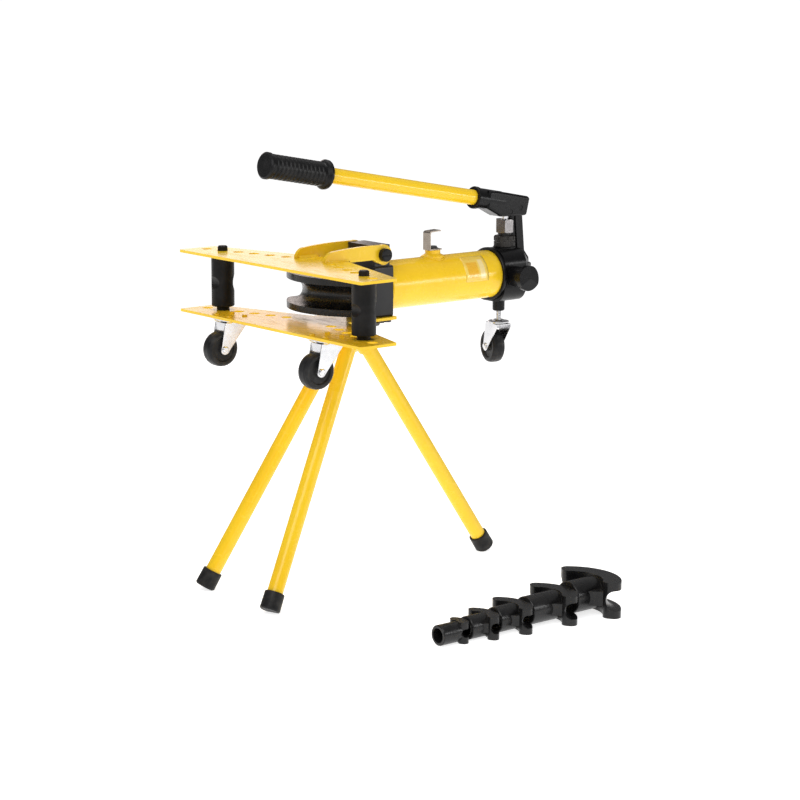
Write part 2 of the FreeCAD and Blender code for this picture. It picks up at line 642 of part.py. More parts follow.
def socket_screw():
    """Set screw that holds the tube in the socket."""
    down = down_on_tube()
    top = SOCKET_R - 0.5
    screw = cyl(SET_SCREW_R, on_lever(SET_SCREW_S, top), down, top - TUBE_R - 0.1)
    return screw.cut(cyl(SET_SCREW_R / 2, on_lever(SET_SCREW_S, top + 1), down, 4))


def handle_tube():
    return tube(TUBE_R, TUBE_BORE, on_lever(TUBE_S0), lever_axis()[0], GRIP_S1 - 4 - TUBE_S0)


def handle_grip():
    """Moulded grip, closed at the free end, with flanges and ring ribs."""
    along = lever_axis()[0]
    length = GRIP_S1 - GRIP_S0
    profile = [(0, 26), (2.5, 31.5), (8, 32), (12, 29), (15, 25)]
    ribs, first, last = 12, 20.0, length - 16
    valley_r, rib_r = 24.0, 26.3
    pitch = (last - first) / ribs
    for i in range(ribs):
        start = first + i * pitch
        profile += [(start, valley_r), (start + 0.2 * pitch, rib_r), (start + 0.65 * pitch, rib_r),
                    (start + 0.85 * pitch, valley_r)]
    profile += [(length - 12, 25), (length - 9, 28.5), (length - 3, 28.5), (length, 25)]
    grip = turned(profile, on_lever(GRIP_S0), along)
    return grip.cut(cyl(TUBE_R, on_lever(GRIP_S0 - 1), along, length - 3))


def strap_outline(y, thick, end_r):
    """A link with round ends about the fulcrum and its foot."""
    top = vec(FULCRUM[0], y, FULCRUM[1])
    foot = vec(LINK_FOOT[0], y, LINK_FOOT[1])
    run = foot.sub(top)
    side = vec(-run.z, 0, run.x)
    side.normalize()
    along = vec(run.x, 0, run.z)
    along.normalize()
    a, b = side * end_r, along * end_r
    wire = Part.Wire([
        Part.Arc(top + a, top - b, top - a).toShape(),
        Part.LineSegment(top - a, foot - a).toShape(),
        Part.Arc(foot - a, foot + b, foot + a).toShape(),
        Part.LineSegment(foot + a, top + a).toShape(),
    ])
    return Part.Face(wire).extrude(vec(0, thick, 0))


def link_straps():
    straps = []
    for y in (-STRAP_OUT, STRAP_IN):
        strap = strap_outline(y, STRAP_OUT - STRAP_IN, STRAP_R)
        for x, z in (FULCRUM, LINK_FOOT):
            strap = strap.cut(cyl(PIN_R + RUNNING, (x, y - 1, z), (0, 1, 0), 8))
        straps.append(strap)
    return Part.makeCompound(straps)


def link_pin():
    """Pin of the link's foot, through the body's cheeks and flush with the tail's sides."""
    x, z = LINK_FOOT
    return turned([(-41, PIN_R - 1), (-40, PIN_R), (40, PIN_R), (41, PIN_R - 1)], (x, 0, z), (0, 1, 0))


def pump_plunger():
    """Plunger with a flat eye; its hole is a slot, since the pin moves a little along the lever."""
    pin_x, pin_z = plunger_pin_place()
    rod = turned([(52, PLUNGER_R - 1), (53, PLUNGER_R), (pin_z - 8, PLUNGER_R)], (PUMP_X, 0, 0), (0, 0, 1))
    eye_x, eye_low, eye_high = 12.5, 11.5, 11.0
    eye = rounded_box(pin_x - eye_x, pin_x + eye_x, -EYE_HALF, EYE_HALF, pin_z - eye_low, pin_z + eye_high,
                      5.0, "y")
    half_x = PIN_R + SLOT_X
    half_z = PIN_R + SLOT_Z
    slot = rounded_box(pin_x - half_x, pin_x + half_x, -12, 12, pin_z - half_z, pin_z + half_z, 5.2, "y")
    return rod.fuse(eye).removeSplitter().cut(slot)


def release_stem():
    """Needle of the release valve."""
    return turned([(0, 1), (5, 5), (18, 5), (18, STEM_FIT_R), (NEEDLE_Y - KNOB_BACK + 9, STEM_FIT_R)],
                  (KNOB_X, NEEDLE_Y, KNOB_Z), (0, -1, 0))


def release_knob():
    """Round knob with three broad finger facets cut across its face."""
    knob = turned([(0, 20), (2, 26), (5, KNOB_R), (19, KNOB_R), (22, KNOB_R - 2)],
                  (KNOB_X, KNOB_BACK, KNOB_Z), (0, -1, 0))
    for i in range(3):
        facet = box(-40, 40, -20, 0, -40, 40)
        facet.rotate(vec(0, 0, 0), vec(1, 0, 0), -FACET_SLOPE)
        facet.rotate(vec(0, 0, 0), vec(0, 1, 0), 120 * i + 60)
        facet.translate(vec(KNOB_X, KNOB_BACK - 22, KNOB_Z))
        knob = knob.cut(facet)
    return knob.cut(cyl(STEM_FIT_R, (KNOB_X, KNOB_BACK + 1, KNOB_Z), (0, -1, 0), 10))


# ---------------------------------------------------------------- fittings on the cylinder
def filler_boss():
    """Filler neck welded on top of the cylinder."""
    boss = turned([(CYL_R - 8, 25), (CYL_R + 1, 25), (CYL_R + 6, 17), (FILLER_TOP - RAM_Z, 17)],
                  (FILLER_X, 0, RAM_Z), (0, 0, 1))
    boss = boss.cut(cyl(CYL_R, (FILLER_X - 50, 0, RAM_Z), (1, 0, 0), 100))
    return boss.cut(cyl(FILLER_BORE, (FILLER_X, 0, RAM_Z), (0, 0, 1), 100))


def filler_cap():
    """Hexagon plug screwed in the filler neck, clamping the strap's foot under its flange."""
    foot_top = FILLER_TOP + STRAP_T
    thread = cyl(FILLER_BORE - 0.05, (FILLER_X, 0, FILLER_TOP - 10), (0, 0, 1), 10 + STRAP_T)
    flange = cyl(12.5, (FILLER_X, 0, foot_top), (0, 0, 1), 1.8)
    return merged([thread, flange, hexagon(17.0, (FILLER_X, 0, foot_top + 1.8), "z", 4.0)])


def hanger_strap():
    """Flat strap hook: a foot clamped under the filler plug, an upright and a bent-back top."""
    front, low, high = FILLER_X - 17.5, FILLER_TOP, FILLER_TOP + 38
    outside = [(front, low), (front, high), (front + 1.5, high + 2.6), (front + 5, high + 4.2),
               (front + 31, high + 5.4)]
    inside = [(front + 31, high + 2.9), (front + 6, high + 1.7), (front + 3.3, high + 0.4),
              (front + STRAP_T, high - 1.6), (front + STRAP_T, low + STRAP_T), (front + 34, low + STRAP_T),
              (front + 34, low)]
    strap = prism([(x, -HOOK_HALF, z) for x, z in outside + inside], (0, 2 * HOOK_HALF, 0))
    return strap.cut(cyl(FILLER_BORE, (FILLER_X, 0, low - 1), (0, 0, 1), 5))


# ---------------------------------------------------------------- tripod
def leg_line(which):
    """Start, unit direction and length of a leg's centreline."""
    if which == "rear":
        start = REAR_LEG_TOP
        end = (REAR_FOOT[0], REAR_FOOT[1], FLOOR_Z + REAR_FOOT_RISE)
    else:
        side = 1 if which == "far" else -1
        start = (FRONT_LEG_TOP[0], side * FRONT_LEG_TOP[1], FRONT_LEG_TOP[2])
        end = (FRONT_FOOT[0], side * FRONT_FOOT[1], FLOOR_Z + FRONT_FOOT_RISE)
    run = tuple(e - s for s, e in zip(start, end))
    length = sqrt(sum(r * r for r in run))
    return start, tuple(r / length for r in run), length


def leg(which):
    start, direction, length = leg_line(which)
    return tube(TUBE_R, TUBE_BORE, start, direction, length - CAP_WALL)


def foot_cap(which):
    """Rubber cap over the end of a leg, its lowest edge pressed flat on the floor."""
    start, direction, length = leg_line(which)
    mouth = tuple(s + d * (length - CAP_LENGTH) for s, d in zip(start, direction))
    cap = turned([(0, 20.3), (1.5, 21.5), (CAP_LENGTH - 3, 22), (CAP_LENGTH, 20)], mouth, direction)
    cap = cap.cut(cyl(TUBE_R, mouth, direction, CAP_LENGTH - CAP_WALL))
    return cap.cut(box(-300, 900, -300, 300, FLOOR_Z - 60, FLOOR_Z))


def foot_caps():
    return Part.makeCompound([foot_cap(which) for which in LEGS])


def tripod_head():
    """Cast head under the tongue, with a socket for each leg."""
    head = turned([(HEAD_BOTTOM, 34), (HEAD_BOTTOM + 2, 36), (-18, 42), (-16, 47), (-15, 48),
                   (-PLATE_T, 48)], (HEAD_X, 0, 0), (0, 0, 1))
    below_plate = box(0, 500, -200, 200, -200, -PLATE_T - 6)
    for which in LEGS:
        start, direction, _ = leg_line(which)
        back = tuple(s - d * 6 for s, d in zip(start, direction))
        head = head.fuse(cyl(TUBE_R + SLEEVE_WALL, back, direction, 34).common(below_plate))
    for which in LEGS:
        start, direction, _ = leg_line(which)
        head = head.cut(cyl(TUBE_R, start, direction, 60))
    head = head.cut(cyl(HEAD_BOLT_R, (HEAD_BOLT_X, 0, 0), (0, 0, -1), 90))
    head = head.cut(cyl(11.5, (HEAD_BOLT_X, 0, HEAD_BOTTOM), (0, 0, -1), 40))
    head = head.cut(cyl(HEAD_BOLT_R, CLAMP_SCREW, (1, 0, 0), 40))
    return max(head.Solids, key=lambda piece: piece.Volume)


def head_bolts():
    """The centre bolt that hangs the head from the tongue, and the clamp screw at its rear."""
    shank = cyl(HEAD_BOLT_R, (HEAD_BOLT_X, 0, -PLATE_T), (0, 0, -1), 68)
    nut = hexagon(18.0, (HEAD_BOLT_X, 0, HEAD_BOTTOM - 10), "z", 10.0)
    screw = turned([(0, HEAD_BOLT_R), (30, HEAD_BOLT_R), (30, 7), (33, 7.5), (40, 7.5), (42, 6)],
                   CLAMP_SCREW, (1, 0, 0))
    return Part.makeCompound([merged([shank, nut]), screw])


# ---------------------------------------------------------------- casters
def caster_bolt_places():
    return [(CASTER_X + i * BOLT_SPREAD[0], side * CASTER_Y + j * BOLT_SPREAD[1])
            for side in (-1, 1) for i in (-1, 1) for j in (-1, 1)]


def swivel_rivet(top_z):
    """Profile of the rivet that holds a fork: flange under its sheet and a shaft through it."""
    under = top_z - FORK_SHEET - 0.4
    return [(under - 2.2, 9), (under, 9), (under, SWIVEL_R), (top_z + 0.3, SWIVEL_R)]


def caster_plates():
    """Mounting plates of the two front casters, each with its swivel race and rivet."""
    plates = []
    low = -PLATE_T - MOUNT_T
    for side in (-1, 1):
        y = side * CASTER_Y
        plate = rounded_box(CASTER_X - 28, CASTER_X + 28, y - 32, y + 32, low, -PLATE_T, 5.0, "z")
        cup = [(FRONT_FORK_TOP + 0.3, 20), (FRONT_FORK_TOP + 1.5, 22), (low, 22)]
        race = turned(swivel_rivet(FRONT_FORK_TOP) + cup, (CASTER_X, y, 0), (0, 0, 1))
        plate = merged([plate, race])
        for bolt_x, bolt_y in caster_bolt_places():
            plate = plate.cut(cyl(CASTER_BOLT_R, (bolt_x, bolt_y, -20), (0, 0, 1), 20))
        plates.append(plate)
    return Part.makeCompound(plates)


def caster_bolts():
    bolts = []
    low = -PLATE_T - MOUNT_T
    for x, y in caster_bolt_places():
        shank = cyl(CASTER_BOLT_R, (x, y, low - 1), (0, 0, 1), 1 - low)
        nut = cyl(5.5, (x, y, low - 3), (0, 0, 1), 3.0)
        bolts.append(merged([shank, nut, hexagon(10.0, (x, y, 0), "z", 3.5)]))
    return Part.makeCompound(bolts)


def fork_side(y, top_z):
    """Side sheet of a fork: broad at the top, its rear edge slanting to a round end at the axle."""
    axle_z = top_z - FORK_DROP
    front_x = -CASTER_TRAIL - 10.4
    rear_x = -CASTER_TRAIL + 9.5
    wire = Part.Wire([
        Part.LineSegment(vec(-27, y, top_z), vec(27, y, top_z)).toShape(),
        Part.LineSegment(vec(27, y, top_z), vec(27, y, top_z - 8)).toShape(),
        Part.LineSegment(vec(27, y, top_z - 8), vec(rear_x, y, axle_z - 5.6)).toShape(),
        Part.Arc(vec(rear_x, y, axle_z - 5.6), vec(-CASTER_TRAIL, y, axle_z - 11),
                 vec(front_x, y, axle_z - 3.6)).toShape(),
        Part.LineSegment(vec(front_x, y, axle_z - 3.6), vec(-27, y, top_z)).toShape(),
    ])
    return Part.Face(wire).extrude(vec(0, FORK_SHEET, 0))


def fork(top_z):
    """Pressed U fork under a swivel at the local origin; the axle trails towards -X."""
    top = box(-27, 27, -FORK_HALF, FORK_HALF, top_z - FORK_SHEET, top_z)
    web = box(-27, -27 + FORK_SHEET, -FORK_HALF, FORK_HALF, top_z - FORK_WEB, top_z)
    body = merged([top, web, fork_side(-FORK_HALF, top_z), fork_side(FORK_HALF - FORK_SHEET, top_z)])
    body = body.cut(cyl(SWIVEL_R + RUNNING, (0, 0, top_z - 10), (0, 0, 1), 20))
    return body.cut(cyl(AXLE_R, (-CASTER_TRAIL, -40, top_z - FORK_DROP), (0, 1, 0), 80))


def axle(top_z):
    """Axle bolt with a rivet head and a nut."""
    return turned([(-23, 5), (-21.5, 7), (-FORK_HALF, 7), (-FORK_HALF, AXLE_R), (FORK_HALF, AXLE_R),
                   (FORK_HALF, 6.5), (23, 6.5), (24, 5)], (-CASTER_TRAIL, 0, top_z - FORK_DROP), (0, 1, 0))


def wheel(top_z):
    """Solid wheel with a crowned tread and a recessed web on each side."""
    half = WHEEL_W / 2
    side = [(half + 1.4, 9), (half, 11), (half - 4, 12), (half - 4, 25), (half, 27.5), (half, 32.5),
            (half - 3, WHEEL_R - 1.5), (6, WHEEL_R)]
    profile = [(-d, r) for d, r in side] + side[::-1]
    z = top_z - FORK_DROP
    body = turned(profile, (-CASTER_TRAIL, 0, z), (0, 1, 0))
    return body.cut(cyl(AXLE_R + RUNNING, (-CASTER_TRAIL, -30, z), (0, 1, 0), 60))


def under_swivel(shape, which):
    """A caster piece put under its swivel: far, near or rear."""
    piece = shape.copy()
    if which == "rear":
        piece.rotate(vec(0, 0, 0), vec(0, 0, 1), REAR_SWIVEL)
        piece.translate(vec(STEM_X, 0, 0))
    else:
        piece.translate(vec(CASTER_X, CASTER_Y if which == "far" else -CASTER_Y, 0))
    return piece


def rear_caster_collar():
    collar = turned([(-26, 12), (-24, 13.8), (-5.5, 13.8), (-5, 14.5), (PUMP_BOTTOM, 14.5)],
                    (STEM_X, 0, 0), (0, 0, 1))
    return collar.cut(cyl(STEM_R, (STEM_X, 0, -30), (0, 0, 1), 40))


def rear_caster_stem():
    """Threaded stem, screwed up into the pump body, with the swivel's cap and rivet at its foot."""
    top = REAR_FORK_TOP
    cap = [(top + 0.3, 23), (top + 1.5, 24.5), (top + 4, 24.5), (top + 5, 23), (top + 6, 14), (top + 8, 12)]
    stem = [(top + 8, STEM_R), (PUMP_BOTTOM + 14, STEM_R)]
    return turned(swivel_rivet(top) + cap + stem, (STEM_X, 0, 0), (0, 0, 1))


# ---------------------------------------------------------------- the whole object
def all_parts():
    parts = {
        "lower_wing_plate": lower_wing_plate(), "front_block": front_block(), "block_bolts": block_bolts(),
        "cylinder_tube": cylinder_tube(), "pressure_barrel": pressure_barrel(), "gland_bush": gland_bush(),
        "end_ring": end_ring(), "pump_body": pump_body(), "pump_barrel": pump_barrel(),
        "barrel_locknut": barrel_locknut(), "gland_nut": gland_nut(), "plunger_seal": plunger_seal(),
        "check_valve_balls": check_valve_balls(), "filler_boss": filler_boss(), "filler_cap": filler_cap(),
        "hanger_strap": hanger_strap(), "tripod_head": tripod_head(),
        "head_bolts": head_bolts(), "leg_front_far": leg("far"), "leg_front_near": leg("near"),
        "leg_rear": leg("rear"), "foot_caps": foot_caps(), "caster_plates": caster_plates(),
        "caster_bolts": caster_bolts(), "rear_caster_collar": rear_caster_collar(),
        "rear_caster_stem": rear_caster_stem(), "yoke_pins": yoke_pins(), "link_pin": link_pin(),
        "ram_rod": ram_rod(), "piston_head": piston_head(), "piston_seal": piston_seal(),
        "return_spring": return_spring(), "bending_die": bending_die(),
        "upper_wing_plate": upper_wing_plate(), "yoke_arms": yoke_arms(),
        "roller_far": roller(1), "roller_near": roller(-1),
        "lever_socket": lever_socket(), "lever_pins": lever_pins(), "socket_screw": socket_screw(),
        "handle_tube": handle_tube(), "handle_grip": handle_grip(), "link_straps": link_straps(),
        "pump_plunger": pump_plunger(), "release_stem": release_stem(), "release_knob": release_knob(),
    }
    for which in LEGS:
        top_z = REAR_FORK_TOP if which == "rear" else FRONT_FORK_TOP
        parts["caster_fork_" + which] = under_swivel(fork(top_z), which)
        parts["caster_axle_" + which] = under_swivel(axle(top_z), which)
        parts["caster_wheel_" + which] = under_swivel(wheel(top_z), which)
    for name, front in zip(LOOSE_DIES, LOOSE_FRONTS):
        parts[name] = loose_die(name, front)
    return parts


def origin_shift(parts):
    """From the working frame to the part's own frame: middle of the overall box, on the floor."""
    overall = FreeCAD.BoundBox()
    for shape in parts.values():
        overall.add(shape.BoundBox)
    return vec(-(overall.XMin + overall.XMax) / 2, -(overall.YMin + overall.YMax) / 2, -FLOOR_Z)


def main():
    os.makedirs("parts", exist_ok=True)
    parts = all_parts()
    shift = origin_shift(parts)
    print("shift", round(shift.x, 4), round(shift.y, 4), round(shift.z, 4), "nodes", len(parts))
    for name, shape in parts.items():
        shape.translate(shift)
        shape.exportStep("parts/" + name + ".step")
        if not shape.isValid() or min(piece.Volume for piece in shape.Solids) <= 0:
            print("not valid:", name)


main()
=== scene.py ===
from math import cos, pi, radians, sin, sqrt

import bmesh
import bpy
from mathutils import Matrix, Vector

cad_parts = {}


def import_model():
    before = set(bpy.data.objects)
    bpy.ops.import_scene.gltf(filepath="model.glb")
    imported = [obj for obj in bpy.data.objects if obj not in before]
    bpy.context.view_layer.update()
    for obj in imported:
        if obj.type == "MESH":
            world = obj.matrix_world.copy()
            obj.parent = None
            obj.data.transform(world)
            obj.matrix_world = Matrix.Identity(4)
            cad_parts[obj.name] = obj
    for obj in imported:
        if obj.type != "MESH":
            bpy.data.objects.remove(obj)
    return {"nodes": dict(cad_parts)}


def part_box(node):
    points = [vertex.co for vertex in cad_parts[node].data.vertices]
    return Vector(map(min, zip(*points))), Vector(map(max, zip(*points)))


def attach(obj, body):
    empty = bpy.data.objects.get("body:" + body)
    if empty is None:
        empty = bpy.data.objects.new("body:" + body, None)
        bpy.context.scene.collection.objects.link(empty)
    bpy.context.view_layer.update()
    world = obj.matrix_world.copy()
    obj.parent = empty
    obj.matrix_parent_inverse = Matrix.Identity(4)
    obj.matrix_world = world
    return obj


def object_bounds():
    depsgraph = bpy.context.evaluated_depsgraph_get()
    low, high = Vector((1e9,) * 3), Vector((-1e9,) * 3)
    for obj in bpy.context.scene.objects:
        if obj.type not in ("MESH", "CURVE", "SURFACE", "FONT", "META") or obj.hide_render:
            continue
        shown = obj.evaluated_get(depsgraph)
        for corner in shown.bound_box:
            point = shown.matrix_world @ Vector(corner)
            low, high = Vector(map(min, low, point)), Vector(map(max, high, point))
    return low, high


# Looks of a hand-pumped hydraulic pipe bender on a tripod. Metres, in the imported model's frame.
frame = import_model()
cad_low, cad_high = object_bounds()
NODES = frame["nodes"]


# ---------------------------------------------------------------- materials
class Surface:
    """A material under construction: one Principled shader and helpers that add nodes before it."""

    def __init__(self, name):
        self.material = bpy.data.materials.new(name)
        self.material.use_nodes = True
        self.tree = self.material.node_tree
        self.tree.nodes.clear()
        self.coords = self.add("ShaderNodeTexCoord").outputs["Object"]
        self.shader = self.add("ShaderNodeBsdfPrincipled")
        output = self.add("ShaderNodeOutputMaterial")
        self.tree.links.new(self.shader.outputs["BSDF"], output.inputs["Surface"])

    def put(self, socket, value):
        if isinstance(value, bpy.types.NodeSocket):
            self.tree.links.new(value, socket)
        else:
            socket.default_value = value

    def add(self, kind, inputs=(), **settings):
        node = self.tree.nodes.new(kind)
        for key, value in settings.items():
            setattr(node, key, value)
        for key, value in dict(inputs).items():
            self.put(node.inputs[key], value)
        return node

    def noise(self, scale, detail=3.0, roughness=0.55, stretch=None, seed=0.0):
        place = self.coords
        if stretch or seed:
            mapping = {"Vector": place, "Scale": stretch or (1, 1, 1), "Location": (seed, seed, seed)}
            place = self.add("ShaderNodeMapping", mapping).outputs["Vector"]
        given = {"Vector": place, "Scale": scale, "Detail": detail, "Roughness": roughness}
        return self.add("ShaderNodeTexNoise", given).outputs["Fac"]

    def cells(self, scale):
        given = {"Vector": self.coords, "Scale": scale}
        return self.add("ShaderNodeTexVoronoi", given).outputs["Distance"]

    def spread(self, value, low, high, to_low=0.0, to_high=1.0):
        given = {"Value": value, "From Min": low, "From Max": high, "To Min": to_low, "To Max": to_high}
        return self.add("ShaderNodeMapRange", given, interpolation_type="SMOOTHSTEP").outputs["Result"]

    def combine(self, operation, a, b):
        node = self.add("ShaderNodeMath", operation=operation, use_clamp=operation != "SUBTRACT")
        self.put(node.inputs[0], a)
        self.put(node.inputs[1], b)
        return node.outputs[0]

    def mix(self, share, a, b, blend="MIX"):
        node = self.add("ShaderNodeMix", data_type="RGBA", blend_type=blend)
        self.put(node.inputs[0], share)
        for socket, value in ((node.inputs[6], a), (node.inputs[7], b)):
            self.put(socket, value if isinstance(value, bpy.types.NodeSocket) else (*value, 1.0))
        return node.outputs[2]

    def edges(self, radius, low, high):
        """Mask of the rounded-over edges, from how far a bevelled normal leaves the true one."""
        soft = self.add("ShaderNodeBevel", {"Radius": radius}, samples=4).outputs["Normal"]
        true = self.add("ShaderNodeNewGeometry").outputs["Normal"]
        dot = self.add("ShaderNodeVectorMath", {0: soft, 1: true}, operation="DOT_PRODUCT").outputs["Value"]
        return self.spread(self.combine("SUBTRACT", 1.0, dot), low, high)

    def crevices(self, distance):
        """Mask of the hollows and corners that the surroundings shut in; it paints shade on paint and bare
        steel, and dust on castings and rubber.
        """
        open_sky = self.add("ShaderNodeAmbientOcclusion", {"Distance": distance}, samples=4).outputs["AO"]
        return self.spread(open_sky, 0.35, 0.9, 1.0, 0.0)

    def bump(self, height, strength, distance, normal=None):
        given = {"Height": height, "Strength": strength, "Distance": distance}
        if normal:
            given["Normal"] = normal
        return self.add("ShaderNodeBump", given).outputs["Normal"]

    def rounded(self, radius):
        return self.add("ShaderNodeBevel", {"Radius": radius}, samples=4).outputs["Normal"]

    def finish(self, color, roughness, normal, **plain):
        self.put(self.shader.inputs["Base Color"], color)
        self.put(self.shader.inputs["Roughness"], roughness)
        self.put(self.shader.inputs["Normal"], normal)
        for key, value in plain.items():
            self.shader.inputs[key.replace("_", " ")].default_value = value
        return self.material


def enamel(name, base, deep, chip, rough, edge_wear, peel, coat, shine):
    """Sprayed gloss paint: slow tone changes, orange peel, painted shade in the corners, edges rubbed thin.
    """
    s = Surface(name)
    tone = s.spread(s.noise(5.0, 4.0), 0.35, 0.68)
    color = s.mix(tone, base, deep)
    specks = s.spread(s.noise(420.0, 2.0, seed=3.1), 0.69, 0.75)
    color = s.mix(s.combine("MULTIPLY", specks, 0.25), color, chip)
    # Painted shade: where the surroundings shut a corner in, the paint darkens towards a deep tone of its own
    # colour.
    patchy = s.spread(s.noise(38.0, 5.0, seed=1.7), 0.3, 0.7, 0.25, 0.75)
    painted_corner_shade = s.combine("MULTIPLY", s.crevices(0.012), patchy)
    color = s.mix(s.combine("MULTIPLY", painted_corner_shade, 0.55), color, tuple(0.22 * c + 0.004 for c in base))
    worn = s.combine("MULTIPLY", s.edges(0.0009, 0.06, 0.4), s.spread(s.noise(120.0, 6.0, 0.7), 0.46, 0.6))
    color = s.mix(s.combine("MULTIPLY", worn, edge_wear), color, chip)
    scuffs = s.spread(s.noise(60.0, 6.0, 0.7, stretch=(1.0, 0.25, 1.0), seed=6.0), 0.4, 0.72)
    dull = s.combine("ADD", s.combine("MULTIPLY", scuffs, 0.6), s.combine("MULTIPLY", worn, 0.6))
    roughness = s.spread(dull, 0.0, 1.0, rough[0], rough[1])
    normal = s.bump(s.noise(620.0, 2.0, 0.4), peel, 0.0004, s.rounded(0.0008))
    normal = s.bump(s.noise(45.0, 3.0), peel * 0.6, 0.0009, normal)
    return s.finish(color, roughness, normal, Coat_Weight=coat, Coat_Roughness=0.08, IOR=1.5,
                    Specular_IOR_Level=shine)


def casting(name, base, pale, rough, grain, edge_wear=0.5, chip=(0.16, 0.155, 0.15), shine=0.16):
    """Painted or oxidised sand casting: grainy skin with pits, rubbed bright on its edges."""
    s = Surface(name)
    tone = s.spread(s.noise(26.0, 6.0, 0.6), 0.36, 0.66)
    color = s.mix(tone, base, pale)
    dust = s.combine("MULTIPLY", s.crevices(0.01), s.spread(s.noise(55.0, 4.0, seed=2.0), 0.35, 0.7))
    color = s.mix(s.combine("MULTIPLY", dust, 0.35), color, (0.075, 0.068, 0.06))
    worn = s.combine("MULTIPLY", s.edges(0.0011, 0.05, 0.35), s.spread(s.noise(150.0, 6.0, 0.75), 0.42, 0.62))
    worn = s.combine("MULTIPLY", worn, edge_wear)
    color = s.mix(worn, color, chip)
    roughness = s.spread(s.noise(180.0, 4.0), 0.3, 0.7, rough[0], rough[1])
    pits = s.spread(s.cells(430.0), 0.0, 0.42)
    skin = s.combine("ADD", s.combine("MULTIPLY", s.noise(520.0, 3.0), 0.7), s.combine("MULTIPLY", pits, 0.3))
    normal = s.bump(skin, grain, 0.0006, s.rounded(0.0011))
    normal = s.bump(s.noise(70.0, 2.0), grain * 0.5, 0.0012, normal)
    return s.finish(color, roughness, normal, IOR=1.5, Specular_IOR_Level=shine)


def metal(name, base, stain, rough, brush, scratch=0.25, spangle=0.0):
    """Bare or plated steel: fine machining lines, faint stains, painted shade in the corners."""
    s = Surface(name)
    tone = s.spread(s.noise(34.0, 5.0, 0.6), 0.38, 0.7)
    color = s.mix(s.combine("MULTIPLY", tone, 0.6), base, stain)
    if spangle:
        patches = s.mix(s.cells(160.0), (0.38, 0.38, 0.39), (0.66, 0.66, 0.66))
        color = s.mix(spangle, color, patches, "SOFT_LIGHT")
    # Painted shade: corners that the surroundings shut in darken towards a dark brown.
    painted_corner_shade = s.combine("MULTIPLY", s.crevices(0.006), s.spread(s.noise(90.0, 4.0, seed=4.0), 0.3, 0.7))
    color = s.mix(s.combine("MULTIPLY", painted_corner_shade, 0.35), color, (0.05, 0.042, 0.034))
    lines = s.noise(900.0, 3.0, 0.7, stretch=brush)
    marks = s.spread(s.noise(80.0, 8.0, 0.8, stretch=(1.0, 0.12, 1.0), seed=9.0), 0.5, 0.75)
    dull = s.combine("ADD", s.combine("MULTIPLY", lines, 0.6), s.combine("MULTIPLY", marks, scratch))
    roughness = s.spread(dull, 0.2, 0.75, rough[0], rough[1])
    normal = s.bump(lines, 0.12, 0.0002, s.rounded(0.0005))
    return s.finish(color, roughness, normal, Metallic=1.0)


def rubber(name, base, pale, rough, grain, dust=0.4):
    """Moulded rubber or plastic: fine grain, scuffs and a little dust in the hollows."""
    s = Surface(name)
    tone = s.spread(s.noise(48.0, 5.0, 0.6), 0.4, 0.72)
    color = s.mix(tone, base, pale)
    hollow = s.combine("MULTIPLY", s.crevices(0.008), s.spread(s.noise(80.0, 4.0, seed=5.0), 0.3, 0.7))
    color = s.mix(s.combine("MULTIPLY", hollow, dust), color, (0.085, 0.08, 0.072))
    roughness = s.spread(s.noise(210.0, 5.0, 0.7), 0.3, 0.72, rough[0], rough[1])
    normal = s.bump(s.noise(900.0, 3.0, 0.6), grain, 0.0003, s.rounded(0.0007))
    normal = s.bump(s.noise(90.0, 2.0), grain * 0.4, 0.0006, normal)
    return s.finish(color, roughness, normal, IOR=1.48, Specular_IOR_Level=0.18)


